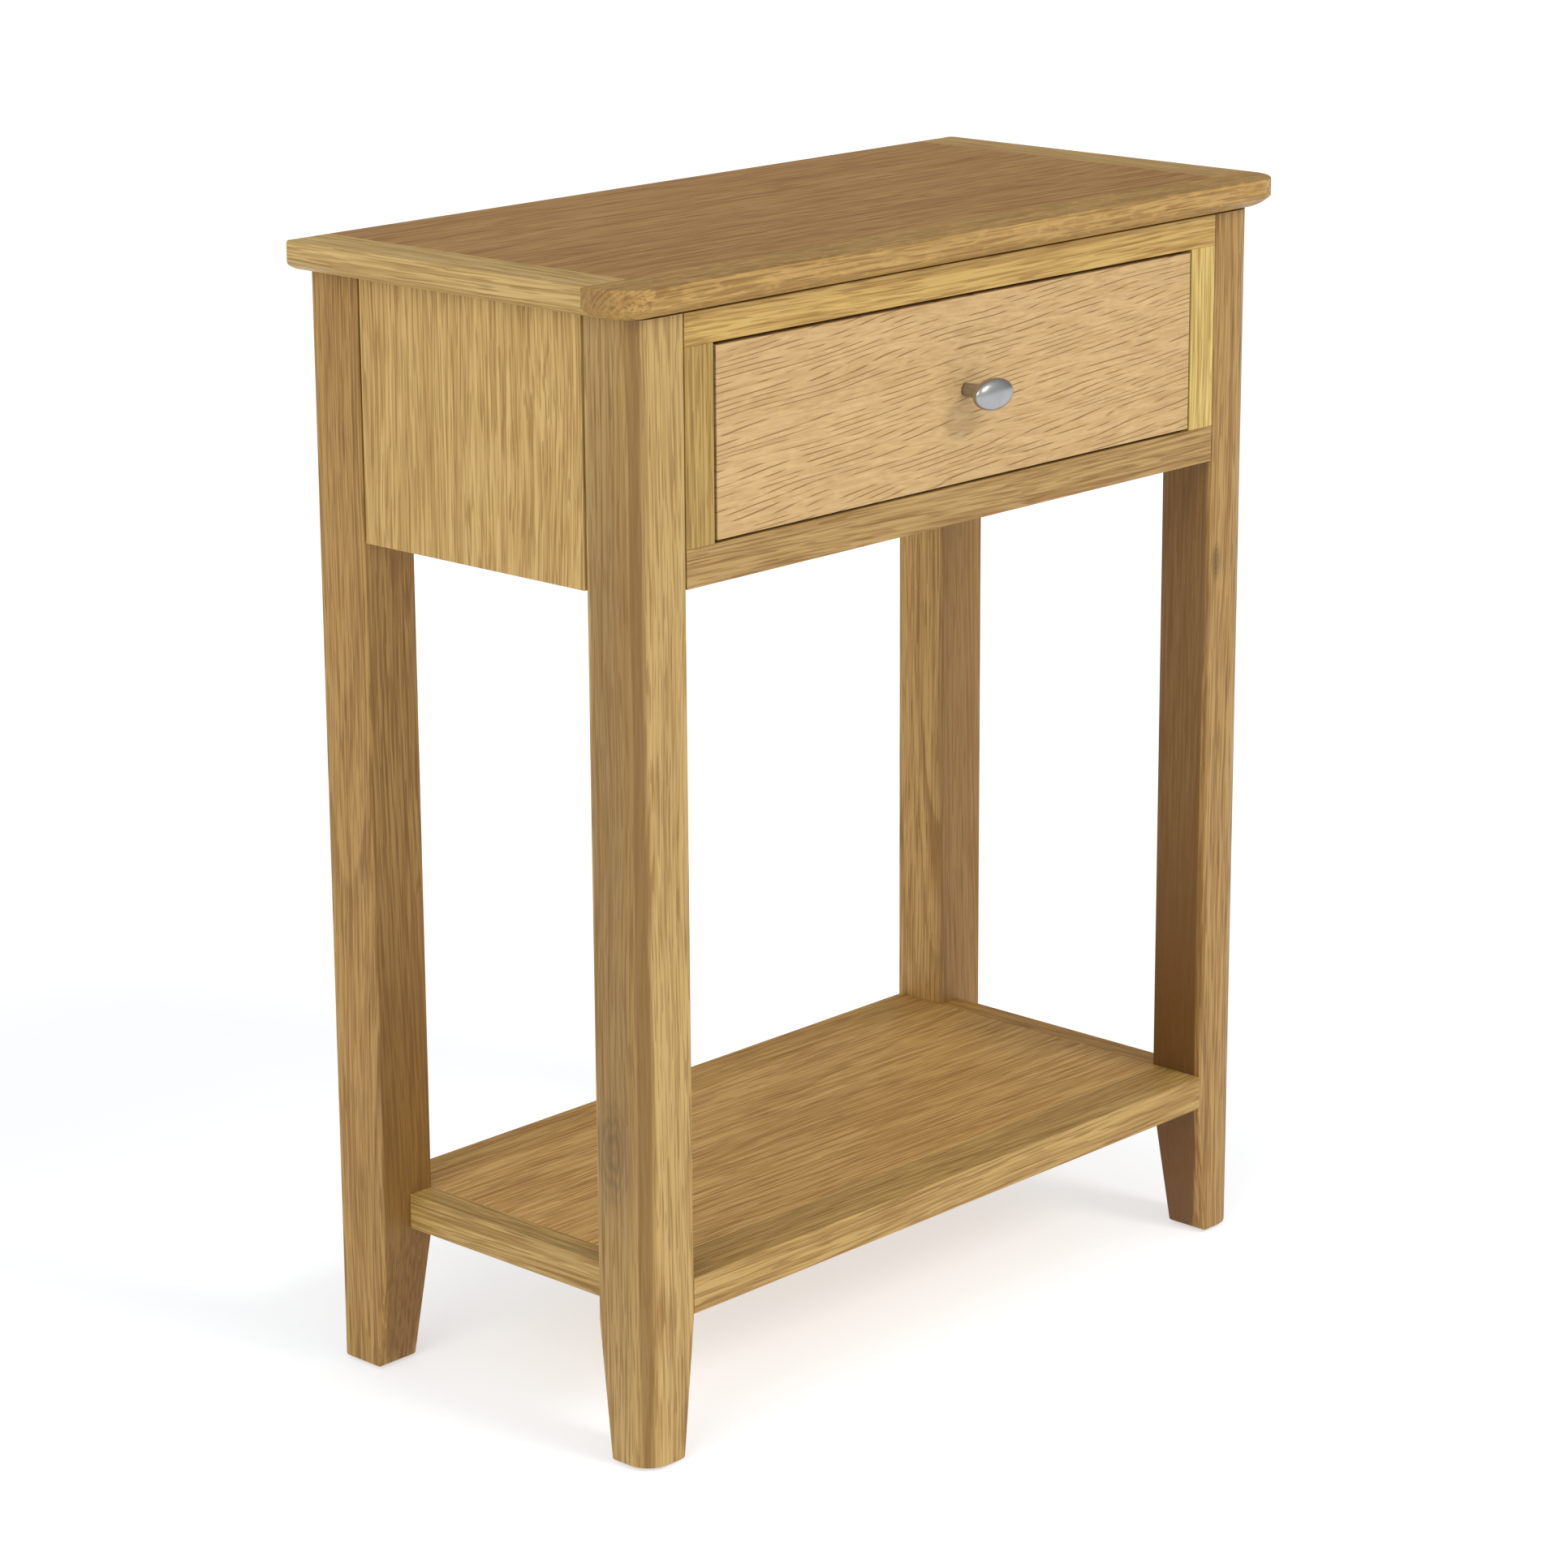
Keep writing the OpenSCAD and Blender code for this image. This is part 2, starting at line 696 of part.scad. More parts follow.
// Front or back board of the shelf, between the legs: y0 and y1 are its faces,
// tenon_y is the tenons' front face and seam_y is the edge that meets the panel
module shelf_long_board(y0, y1, tenon_y, seam_y) {
    difference() {
        union() {
            block([-leg_in_x, y0, shelf_z], [leg_in_x, y1, shelf_top]);
            block([-leg_in_x - shelf_tenon_l, tenon_y, shelf_tenon_z],
                  [leg_in_x + shelf_tenon_l, tenon_y + shelf_tenon_w, shelf_tenon_z + tenon_t]);
        }
        socket([-leg_in_x + slip_end, seam_y - slip_l, shelf_slip_z],
               [leg_in_x - slip_end, seam_y + slip_l, shelf_slip_z + slip_t]);
    }
}

module shelf_front_board() {
    color(oak) shelf_long_board(front_y, shelf_front_in, front_y + shelf_tenon_in, shelf_front_in);
}

module shelf_back_board() {
    color(oak) shelf_long_board(shelf_back_seam, shelf_back_y,
                                back_y - shelf_tenon_in - shelf_tenon_w, shelf_back_seam);
}

// The shelf's eight dowels, or their holes when g is more than 0
module dowels(g) {
    for (sx = [-1, 1]) for (y = [leg_back_face, leg_front_face]) for (z = dowel_heights)
        translate([sx * shelf_side_mid, y - dowel_l / 2 - g, z]) rotate([-90, 0, 0])
            cylinder(r = dowel_r + g, h = dowel_l + 2 * g);
}

// Side board of the shelf, between a front and a back leg
module shelf_left_board() {
    color(oak) difference() {
        block([-leg_in_x - shelf_side_w, leg_back_face, shelf_z], [-leg_in_x, leg_front_face, shelf_top]);
        socket([-leg_in_x - slip_l, leg_back_face + side_slip_in, shelf_slip_z],
               [-leg_in_x + 1, leg_front_face - side_slip_in, shelf_slip_z + slip_t]);
        dowels(fit_gap);
    }
}

module shelf_right_board() {
    mirrored() shelf_left_board();
}

module shelf_dowels() {
    color(inner_wood) dowels(0);
}

// ---------- foot glides ----------

glide_pin_r = 1.5;
glide_pin_l = 12;

// Four round glides, each with a pin up into its foot
module foot_glides() {
    color(felt_brown) for (sx = [-1, 1]) for (y = [front_y + foot_s / 2, back_y - foot_s / 2])
        translate([sx * (leg_x - foot_s / 2), y, 0]) {
            cylinder(r = glide_r, h = glide_t);
            cylinder(r = glide_pin_r, h = glide_t + glide_pin_l);
        }
}

// ---------- drawer ----------

// Dovetails of one drawer side, seen from the side; grown by g where they are sockets
module tail_outlines(g) {
    narrow = tail_wide - 2 * tail_l * tail_slope;
    for (i = [0 : tails - 1]) {
        z = drawer_z0 + (i + 0.5) * tail_pitch;
        polygon([[inner_front_y + tail_root, z - narrow / 2 - g],
                 [inner_front_y - tail_l - g, z - tail_wide / 2 - g],
                 [inner_front_y - tail_l - g, z + tail_wide / 2 + g],
                 [inner_front_y + tail_root, z + narrow / 2 + g]]);
    }
}

// Those outlines as solids through the thickness of the left side
module tail_solids(g) {
    translate([-drawer_x - g, 0, 0]) rotate([90, 0, 90]) linear_extrude(box_t + 2 * g) tail_outlines(g);
}

// Space of the bottom's groove, as far as the bottom reaches
module bottom_space(g) {
    reach = groove_d - bottom_play + g;
    block([-box_in_x - reach, inner_front_y - reach, bottom_z - g],
          [box_in_x + reach, drawer_back_y1 + g, bottom_z + bottom_t + g]);
}

module drawer_front() {
    color(oak_front) difference() {
        block([-drawer_x, front_y, drawer_z0], [drawer_x, inner_front_y, front_z1]);
        tail_solids(fit_gap);
        mirrored() tail_solids(fit_gap);
        bottom_space(fit_gap);
        translate([0, front_y - 1, knob_z]) rotate([-90, 0, 0])
            cylinder(r = knob_screw_r + knob_hole_play, h = front_t + 2);
    }
}

// Side of the drawer, dovetailed into the front, grooved for the bottom and housed for the back
module drawer_side_left() {
    color(inner_wood) difference() {
        union() {
            block([-drawer_x, inner_front_y, drawer_z0], [-box_in_x, drawer_end_y, box_z1]);
            tail_solids(0);
        }
        block([-box_in_x - groove_d, front_y, bottom_z - fit_gap],
              [-box_in_x + 1, drawer_end_y + 1, bottom_z + bottom_t + fit_gap]);
        block([-box_in_x - housing_d, drawer_back_y0 - fit_gap, drawer_back_z0 - 1],
              [-box_in_x + 1, drawer_back_y1 + fit_gap, box_z1 + 1]);
    }
}

module drawer_side_right() {
    mirrored() drawer_side_left();
}

bottom_screw_r = 1.75;
bottom_screw_l = 22;
bottom_screw_head_t = 1.6;
bottom_screw_spread = 0.8;              // outer screws' place, as a share of the half width inside the box
bottom_screw_places = [
    for (s = [-1, 0, 1])
        [s * bottom_screw_spread * box_in_x, (drawer_back_y0 + drawer_back_y1) / 2, bottom_z]
];

// Back of the drawer, on the bottom and housed in the sides, with the turn button's pilot hole
module drawer_back() {
    x1 = box_in_x + housing_d - fit_gap;
    color(inner_wood) difference() {
        block([-x1, drawer_back_y0, drawer_back_z0], [x1, drawer_back_y1, box_z1 - back_drop]);
        for (p = bottom_screw_places) translate(p)
            cylinder(r = bottom_screw_r + fit_gap, h = bottom_screw_l + fit_gap);
        translate([0, drawer_back_y0 - 1, pivot_z]) rotate([-90, 0, 0])
            cylinder(r = pivot_r + fit_gap, h = box_t + 2);
    }
}

module drawer_bottom() {
    color(inner_wood) difference() {
        bottom_space(0);
        for (p = bottom_screw_places) translate(p + [0, 0, -1])
            cylinder(r = bottom_screw_r + fit_gap, h = bottom_t + 2);
    }
}

// Three screws up through the bottom into the drawer back
module drawer_bottom_screws() {
    color(zinc) for (p = bottom_screw_places) translate(p) mirror([0, 0, 1])
        pan_screw(bottom_screw_r, bottom_screw_l, bottom_screw_head_t);
}

// ---------- knob ----------

// Cast knob: an oval head on a round stem that widens towards it, tapped from behind
module knob() {
    head_y = knob_reach - knob_t / 2;
    color(nickel) translate([0, front_y, knob_z]) difference() {
        union() {
            translate([0, -head_y, 0]) scale([knob_w / knob_t, 1, knob_h / knob_t])
                sphere(r = knob_t / 2, $fn = 56);
            rotate([90, 0, 0]) cylinder(r1 = stem_r, r2 = stem_top_r, h = head_y);
        }
        rotate([90, 0, 0]) translate([0, 0, -1])
            cylinder(r = knob_screw_r + turning_gap, h = knob_thread_l + 2);
    }
}

knob_thread_l = 11;                     // screw's engagement in the stem
knob_screw_head_t = 2.4;

// Machine screw through the drawer front into the knob, its head inside the drawer
module knob_screw() {
    color(zinc) translate([0, inner_front_y, knob_z]) rotate([-90, 0, 0])
        pan_screw(knob_screw_r, front_t + knob_thread_l, knob_screw_head_t);
}

// ---------- turn button ----------

// Button on the drawer back: upright it catches the rail over the drawer, turned it lets the drawer out
module turn_button() {
    r = button_w / 2;
    rise = button_tip_z - r - pivot_z;
    color(oak) translate([0, button_y1, pivot_z]) rotate([90, 0, 0]) difference() {
        union() {
            cylinder(r = r, h = button_t);
            translate([0, rise, 0]) cylinder(r = r, h = button_t);
            block([-r, 0, 0], [r, rise, button_t]);
        }
        translate([0, 0, -1]) cylinder(r = pivot_r + turning_gap, h = button_t + 2);
    }
}

// Its pivot screw, held in the drawer back, its tip just short of the back's far face
module turn_button_screw() {
    tip_in = 2;
    head_t = 2.2;
    grip = box_t - tip_in;
    color(zinc) translate([0, button_y0 - button_play, pivot_z]) rotate([90, 0, 0])
        pan_screw(pivot_r, button_t + 2 * button_play + grip, head_t);
}

// ---------- what is drawn ----------

top_centre_panel();
top_front_rail();
top_back_rail();
top_left_cleat();
top_right_cleat();
leg_front_left();
leg_front_right();
leg_back_left();
leg_back_right();
side_panel_left();
side_panel_right();
back_panel();
front_over_rail();
front_under_rail();
front_left_stile();
front_right_stile();
runner_left();
runner_right();
guide_left();
guide_right();
kicker_left();
kicker_right();
guide_screws();
top_fixing_screws();
drawer_stops();
shelf_panel();
shelf_front_board();
shelf_back_board();
shelf_left_board();
shelf_right_board();
shelf_dowels();
foot_glides();
drawer_front();
drawer_side_left();
drawer_side_right();
drawer_back();
drawer_bottom();
drawer_bottom_screws();
knob();
knob_screw();
turn_button_screw();
turn_button();
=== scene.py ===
import json

import bmesh
import bpy
import numpy as np
from mathutils import Euler, Matrix, Vector

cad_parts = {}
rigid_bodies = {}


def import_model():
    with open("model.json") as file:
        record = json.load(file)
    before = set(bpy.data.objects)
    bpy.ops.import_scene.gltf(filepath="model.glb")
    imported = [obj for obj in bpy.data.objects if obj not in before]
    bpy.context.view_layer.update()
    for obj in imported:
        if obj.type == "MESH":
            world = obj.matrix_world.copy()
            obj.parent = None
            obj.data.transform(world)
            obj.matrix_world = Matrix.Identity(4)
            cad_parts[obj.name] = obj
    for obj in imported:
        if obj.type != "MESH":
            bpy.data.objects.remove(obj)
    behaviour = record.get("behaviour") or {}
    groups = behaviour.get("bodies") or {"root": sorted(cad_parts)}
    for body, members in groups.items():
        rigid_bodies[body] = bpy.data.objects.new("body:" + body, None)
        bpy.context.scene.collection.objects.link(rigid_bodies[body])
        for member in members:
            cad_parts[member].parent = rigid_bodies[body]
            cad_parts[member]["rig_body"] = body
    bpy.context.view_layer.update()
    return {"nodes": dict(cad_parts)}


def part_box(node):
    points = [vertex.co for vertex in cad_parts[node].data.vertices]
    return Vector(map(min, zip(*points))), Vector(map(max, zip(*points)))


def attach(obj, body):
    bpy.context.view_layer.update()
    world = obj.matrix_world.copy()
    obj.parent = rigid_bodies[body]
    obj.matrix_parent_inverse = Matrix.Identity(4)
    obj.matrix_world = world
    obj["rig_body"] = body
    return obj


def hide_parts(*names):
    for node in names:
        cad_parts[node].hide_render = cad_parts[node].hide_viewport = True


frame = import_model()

MM = 0.001
scene = bpy.context.scene

# ---------- sizes that the CAD frame's boxes don't say, in metres ----------

BEVEL_W, BEVEL_H = 22 * MM, 8.8 * MM        # curved bevel under the tabletop's edge
TOP_CORNER_R = 30 * MM                      # plan radius of the tabletop's front corners
TOP_BACK_CUT = 4 * MM                       # flat cut across its back corners
TOP_ARRIS = 1.6 * MM                        # round along the tabletop's upper arris
LEG_CORNER_R, LEG_EASE = 18 * MM, 1.2 * MM  # outer corner of a front leg, and a leg's other corners
FOOT_S, FOOT_EASE = 35 * MM, 2 * MM         # side of the square foot, and the round at its underside
TAPER_DROP = 3 * MM                         # the taper starts this far under the shelf
STEM_R, STEM_TOP_R = 4.6 * MM, 6.4 * MM     # knob's stem at the drawer and at the head
HEAD_T, HEAD_FRONT = 13 * MM, 6.2 * MM      # knob's head to its front, from its neck and from its widest line
TOP_EASE = 0.35                             # millimetres off the sharp arrises of the tabletop's boards

# ---------- mesh helpers ----------


def tidy(bm, flat=False):
    """Merges doubled points and turns every face outwards. flat also joins faces that lie in one plane."""
    bmesh.ops.remove_doubles(bm, verts=bm.verts, dist=1e-6)
    bmesh.ops.dissolve_degenerate(bm, edges=bm.edges, dist=1e-7)
    if flat:
        bmesh.ops.dissolve_limit(bm, verts=bm.verts, edges=bm.edges, angle_limit=np.radians(0.4))
    bmesh.ops.recalc_face_normals(bm, faces=bm.faces)
    for face in bm.faces:
        face.smooth = True


def place(name, bm, node, finish, ease=0.0):
    """Makes the mesh a piece that stands for the CAD node and rides with it.
    Its arrises are rounded by ease metres."""
    mesh = bpy.data.meshes.new(name)
    bm.to_mesh(mesh)
    bm.free()
    piece = bpy.data.objects.new(name, mesh)
    scene.collection.objects.link(piece)
    mesh.materials.append(finish)
    if ease:
        bevel = piece.modifiers.new("eased arrises", "BEVEL")
        bevel.width, bevel.segments = ease, 3
        bevel.limit_method, bevel.angle_limit = "ANGLE", np.radians(35)
        bevel.loop_slide = False
    weighted = piece.modifiers.new("flat faces stay flat", "WEIGHTED_NORMAL")
    weighted.weight, weighted.keep_sharp = 90, True
    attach(piece, frame["nodes"][node]["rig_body"])
    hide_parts(node)
    return piece


def loft(rings, crisp_ends=False):
    """Closed surface through rings[level, around]: a quad between each two neighbours on two levels,
    one face at each end. crisp_ends shades the two end faces apart from the sides."""
    levels, around = rings.shape[:2]
    index = np.arange(levels * around).reshape(levels, around)
    after = np.roll(index, -1, axis=1)
    quads = np.stack([index[:-1], after[:-1], after[1:], index[1:]], axis=-1).reshape(-1, 4)
    mesh = bpy.data.meshes.new("loft")
    ends = [index[0].tolist(), index[-1].tolist()]
    mesh.from_pydata(rings.reshape(-1, 3).tolist(), [], quads.tolist() + ends)
    bm = bmesh.new()
    bm.from_mesh(mesh)
    bpy.data.meshes.remove(mesh)
    tidy(bm)
    if crisp_ends:
        for face in bm.faces:
            if len(face.verts) > 4:
                for edge in face.edges:
                    edge.smooth = False
    return bm


KEPT_ATTRIBUTES = ("position", ".edge_verts", ".corner_vert", ".corner_edge", "sharp_face")


def joined(node):
    """Copy of a CAD board with its tenons, tongues, sockets and holes, its triangles merged into flat faces.
    Only its form and its sharp faces are kept."""
    bm = bmesh.new()
    bm.from_mesh(frame["nodes"][node].data)
    tidy(bm, flat=True)
    clean = bpy.data.meshes.new("clean")
    bm.to_mesh(clean)
    bm.free()
    for name in [a.name for a in clean.attributes if a.name not in KEPT_ATTRIBUTES]:
        clean.attributes.remove(clean.attributes[name])
    bm = bmesh.new()
    bm.from_mesh(clean)
    bpy.data.meshes.remove(clean)
    for face in bm.faces:
        face.smooth = True
    return bm


# ---------- forms ----------


def leg_rings(node, outer_x, outer_y, corner_r):
    """Leg as rounded squares stacked from the foot up. outer_x and outer_y are -1 or 1, towards the outside.
    The two outer faces stand straight. The two inner ones move out in proportion to the height, up to where
    the taper ends. The lowest levels are drawn in along a quarter circle."""
    low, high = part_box(node)
    round_foot = np.radians(np.linspace(0, 90, 5))
    taper_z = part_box("shelf_panel")[0].z - TAPER_DROP
    foot_z = low.z + FOOT_EASE
    z = np.r_[low.z + FOOT_EASE * (1 - np.cos(round_foot)), taper_z, high.z]
    draw_in = np.r_[FOOT_EASE * (1 - np.sin(round_foot)), 0, 0]
    full = high.x - low.x
    narrow = (full - FOOT_S) * np.clip((taper_z - z) / (taper_z - foot_z), 0, 1)
    x0 = low.x + draw_in + (narrow if outer_x > 0 else 0)
    x1 = high.x - draw_in - (narrow if outer_x < 0 else 0)
    y0 = low.y + draw_in + (narrow if outer_y > 0 else 0)
    y1 = high.y - draw_in - (narrow if outer_y < 0 else 0)
    parts = []
    corners = ((x0, y0, -1, -1, 180), (x1, y0, 1, -1, 270), (x1, y1, 1, 1, 0), (x0, y1, -1, 1, 90))
    for x, y, sx, sy, start in corners:
        radius = corner_r if (sx, sy) == (outer_x, outer_y) else LEG_EASE
        turn = np.radians(start + np.linspace(0, 90, 17 if radius > LEG_EASE else 5))
        px = (x - sx * radius)[:, None] + radius * np.cos(turn)
        py = (y - sy * radius)[:, None] + radius * np.sin(turn)
        parts.append(np.stack([px, py, np.broadcast_to(z[:, None], px.shape)], axis=-1))
    return np.concatenate(parts, axis=1)


def edge_profile():
    """Tabletop's edge from the underside up: how far each level is set in, and its height. First the bevel,
    one arc that leaves the underside level; then the upright edge; then a quarter circle at the arris."""
    low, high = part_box("top_front_rail")
    arc_r = (BEVEL_W**2 + BEVEL_H**2) / (2 * BEVEL_H)
    sweep = np.linspace(0, np.arcsin(BEVEL_W / arc_r), 13)
    arris = np.radians(np.linspace(0, 90, 6))
    inset = np.r_[BEVEL_W - arc_r * np.sin(sweep), TOP_ARRIS * (1 - np.cos(arris))]
    z = np.r_[low.z + arc_r * (1 - np.cos(sweep)), high.z - TOP_ARRIS * (1 - np.sin(arris))]
    return inset, z


def outline_rings(points, z):
    """Stacks plan outlines, one for each level. points is a list of (x, y), each a number for all levels
    or one number for each level."""
    full = [[np.broadcast_to(np.asarray(c, float), z.shape) for c in p] + [z] for p in points]
    return np.moveaxis(np.array(full), (0, 1, 2), (1, 2, 0))


def front_rail_rings():
    """Front board of the tabletop: its outline follows the left end, two quarter circles and the right end,
    set in by the edge's profile."""
    low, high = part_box("top_front_rail")
    inset, z = edge_profile()
    turn = np.radians(np.linspace(0, 90, 17))
    radius = TOP_CORNER_R - inset
    x, y = low.x + TOP_CORNER_R, low.y + TOP_CORNER_R
    left = [(x - radius * np.cos(t), y - radius * np.sin(t)) for t in turn]
    right = [(-px, py) for px, py in reversed(left)]
    return outline_rings([(low.x + inset, high.y), *left, *right, (high.x - inset, high.y)], z)


def back_edge(z, z1, back):
    """Tabletop's back edge at each level: upright, with the round at the arris."""
    return back - np.where(z > z1 - TOP_ARRIS - MM * 0.01, edge_profile()[0], 0)


def back_rail_rings():
    """Back board of the tabletop: a straight board between the seams with the two end boards."""
    low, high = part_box("top_back_rail")
    inset, z = edge_profile()
    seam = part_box("top_right_cleat")[0].x
    back = back_edge(z, high.z, high.y)
    return outline_rings([(-seam, low.y), (seam, low.y), (seam, back), (-seam, back)], z)


def cleat_rings(node, side):
    """End board of the tabletop: the profile runs along its outer edge, its back edge is upright and its back
    corner is cut flat. It reaches from the seam with the front board to the back edge."""
    low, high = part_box(node)
    inset, z = edge_profile()
    front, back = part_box("top_front_rail")[1].y, back_edge(z, high.z, high.y)
    seam, outer = (high.x, low.x) if side < 0 else (low.x, high.x)
    cut = np.maximum(TOP_BACK_CUT, inset)
    corner = back - np.maximum(TOP_BACK_CUT - inset, 0)
    return outline_rings([(outer - side * inset, front), (outer - side * inset, corner),
                          (outer - side * cut, back), (seam, back), (seam, front)], z)


def knob_rings():
    """Knob along its axis: a round stem that flares into an oval head like a flattened pebble. Behind the
    head's widest line the section grows from circle to ellipse along a sine curve; in front of it the ellipse
    closes as a quarter of a slightly full curve."""
    low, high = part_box("knob")
    centre_x, centre_z = (low.x + high.x) / 2, (low.z + high.z) / 2
    half_w, half_h, reach = (high.x - low.x) / 2, (high.z - low.z) / 2, high.y - low.y
    head_back, widest = reach - HEAD_T, reach - HEAD_FRONT
    rise = np.linspace(0, 1, 12)
    stem_out = rise * head_back
    stem_r = STEM_R + (STEM_TOP_R - STEM_R) * rise**1.5
    swell = np.radians(np.linspace(8, 90, 16))
    under_out = head_back + (widest - head_back) * (1 - np.cos(swell))
    grow = np.sin(swell) ** 0.9
    dome = np.radians(np.linspace(3, 90, 20))
    dome_out = widest + (reach - widest) * np.sin(dome)
    close = np.cos(dome) ** 0.92
    out = np.r_[stem_out, under_out, dome_out]
    a = np.r_[stem_r, STEM_TOP_R + (half_w - STEM_TOP_R) * grow, half_w * close]
    b = np.r_[stem_r, STEM_TOP_R + (half_h - STEM_TOP_R) * grow, half_h * close]
    turn = np.linspace(0, 2 * np.pi, 72, endpoint=False)
    x = centre_x + a[:, None] * np.cos(turn)
    z = centre_z + b[:, None] * np.sin(turn)
    return np.stack([x, np.broadcast_to((high.y - out)[:, None], x.shape), z], axis=-1)


# ---------- finishes ----------


class Finish:
    """A material being put together. Each call adds one node and returns what flows out of it."""

    def __init__(self, name):
        self.material = bpy.data.materials.new(name)
        self.material.use_nodes = True
        self.nodes, self.links = self.material.node_tree.nodes, self.material.node_tree.links
        self.nodes.clear()

    def add(self, kind, inputs, out=0, **settings):
        node = self.nodes.new(kind)
        for key, value in settings.items():
            setattr(node, key, value)
        for key, value in inputs.items():
            if isinstance(value, bpy.types.NodeSocket):
                self.links.new(value, node.inputs[key])
            else:
                node.inputs[key].default_value = value
        return node.outputs[out] if len(node.outputs) else None

    def math(self, operation, a, b=0.0, c=0.0, clamp=False):
        return self.add("ShaderNodeMath", {0: a, 1: b, 2: c}, operation=operation, use_clamp=clamp)

    def vector(self, operation, a, b=(0, 0, 0), c=(0, 0, 0), out=0):
        return self.add("ShaderNodeVectorMath", {0: a, 1: b, 2: c}, out, operation=operation)

    def span(self, value, a, b, to_a=0.0, to_b=1.0):
        """value's range a to b becomes to_a to to_b, held at both ends."""
        return self.add("ShaderNodeMapRange", {0: value, 1: a, 2: b, 3: to_a, 4: to_b})

    def stretch(self, vector, scale, shift=(0, 0, 0), turn=(0, 0, 0)):
        inputs = {"Vector": vector, "Location": shift, "Rotation": turn, "Scale": scale}
        return self.add("ShaderNodeMapping", inputs)

    def noise(self, vector, scale, detail=2.0, rough=0.5, out=0, distortion=0.0):
        inputs = {"Vector": vector, "Scale": scale, "Detail": detail, "Roughness": rough,
                  "Distortion": distortion}
        return self.add("ShaderNodeTexNoise", inputs, out)

    def drawn_out(self, vector, size, detail, rough=0.5):
        """Noise of size = (cells in a metre across the grain, share of that along it)."""
        return self.noise(self.stretch(vector, (1, 1, size[1])), size[0], detail, rough)

    def blend(self, amount, a, b):
        return self.add("ShaderNodeMix", {0: amount, 6: a, 7: b}, 2, data_type="RGBA")

    def mixture(self, base, *parts):
        """base plus each part's distance from one half times its gain, held between 0 and 1."""
        total = base - 0.5 * sum(gain for _, gain in parts)
        for value, gain in parts:
            total = self.math("MULTIPLY_ADD", value, gain, total, clamp=value is parts[-1][0])
        return total

    def worn_edges(self, radius):
        """1 along arrises, fading to 0 at radius from them."""
        rounded = self.add("ShaderNodeBevel", {"Radius": radius}, samples=4)
        straight = self.add("ShaderNodeNewGeometry", {}, "Normal")
        return self.span(self.vector("DOT_PRODUCT", rounded, straight, out="Value"), 0.995, 0.86)

    def close(self, colour, roughness, height, depth, constants=None):
        """Ends the material in one shader. height is the bump, depth how deep it is in metres;
        constants go on the shader itself."""
        bump = self.add("ShaderNodeBump", {"Strength": 1.0, "Distance": depth, "Height": height})
        inputs = {"Base Color": colour, "Roughness": roughness, "Normal": bump}
        shader = self.add("ShaderNodeBsdfPrincipled", inputs | (constants or {}))
        self.add("ShaderNodeOutputMaterial", {"Surface": shader})
        return self.material


def linear(red, green, blue):
    """A colour given as screen values from 0 to 255, as light."""
    c = np.array([red, green, blue]) / 255
    return np.where(c <= 0.04045, c / 12.92, ((c + 0.055) / 1.055) ** 2.4)


def paint(rgb):
    return (*[float(v) for v in rgb], 1.0)


# degrees that bring a board's grain upright
GRAIN_TURN = {"x": (0, -90, 0), "y": (90, 0, 0), "z": (0, 0, 0)}
# each kind of wood as a share of the board's own tone, and how much of END_WOOD an end shows
LIGHT_WOOD, DARK_WOOD, PORE_WOOD = (1.22, 1.27, 1.34), (0.72, 0.62, 0.48), (0.50, 0.40, 0.28)
# the heart colour is darker heartwood and also painted shade on the legs' shaded faces
FLECK_WOOD, HEARTWOOD_AND_SHADE, KNOT_WOOD = (1.5, 1.55, 1.65), (0.42, 0.32, 0.20), (0.34, 0.32, 0.34)
END_WOOD, WORN_WOOD, END_DARK = (0.37, 0.29, 0.22), (1.28, 1.32, 1.40), 0.28
# noises: cells in a metre across the grain, and the share of that along it
ZONE, BAND, FIBRE, PORES, PATCH = (32, 0.03), (130, 0.018), (560, 0.018), (800, 0.035), (6.5, 0.3)
STROKE_WANDER, STROKE_GAPS = (45, 0.12), (230, 0.12)
SLOW_PUSH, QUICK_PUSH = 7, 42
# strokes: metres from one to the next, and how far they drift sideways in a metre along the grain
STROKE_APART, STROKE_SLOPE = 4.0 * MM, 0.09


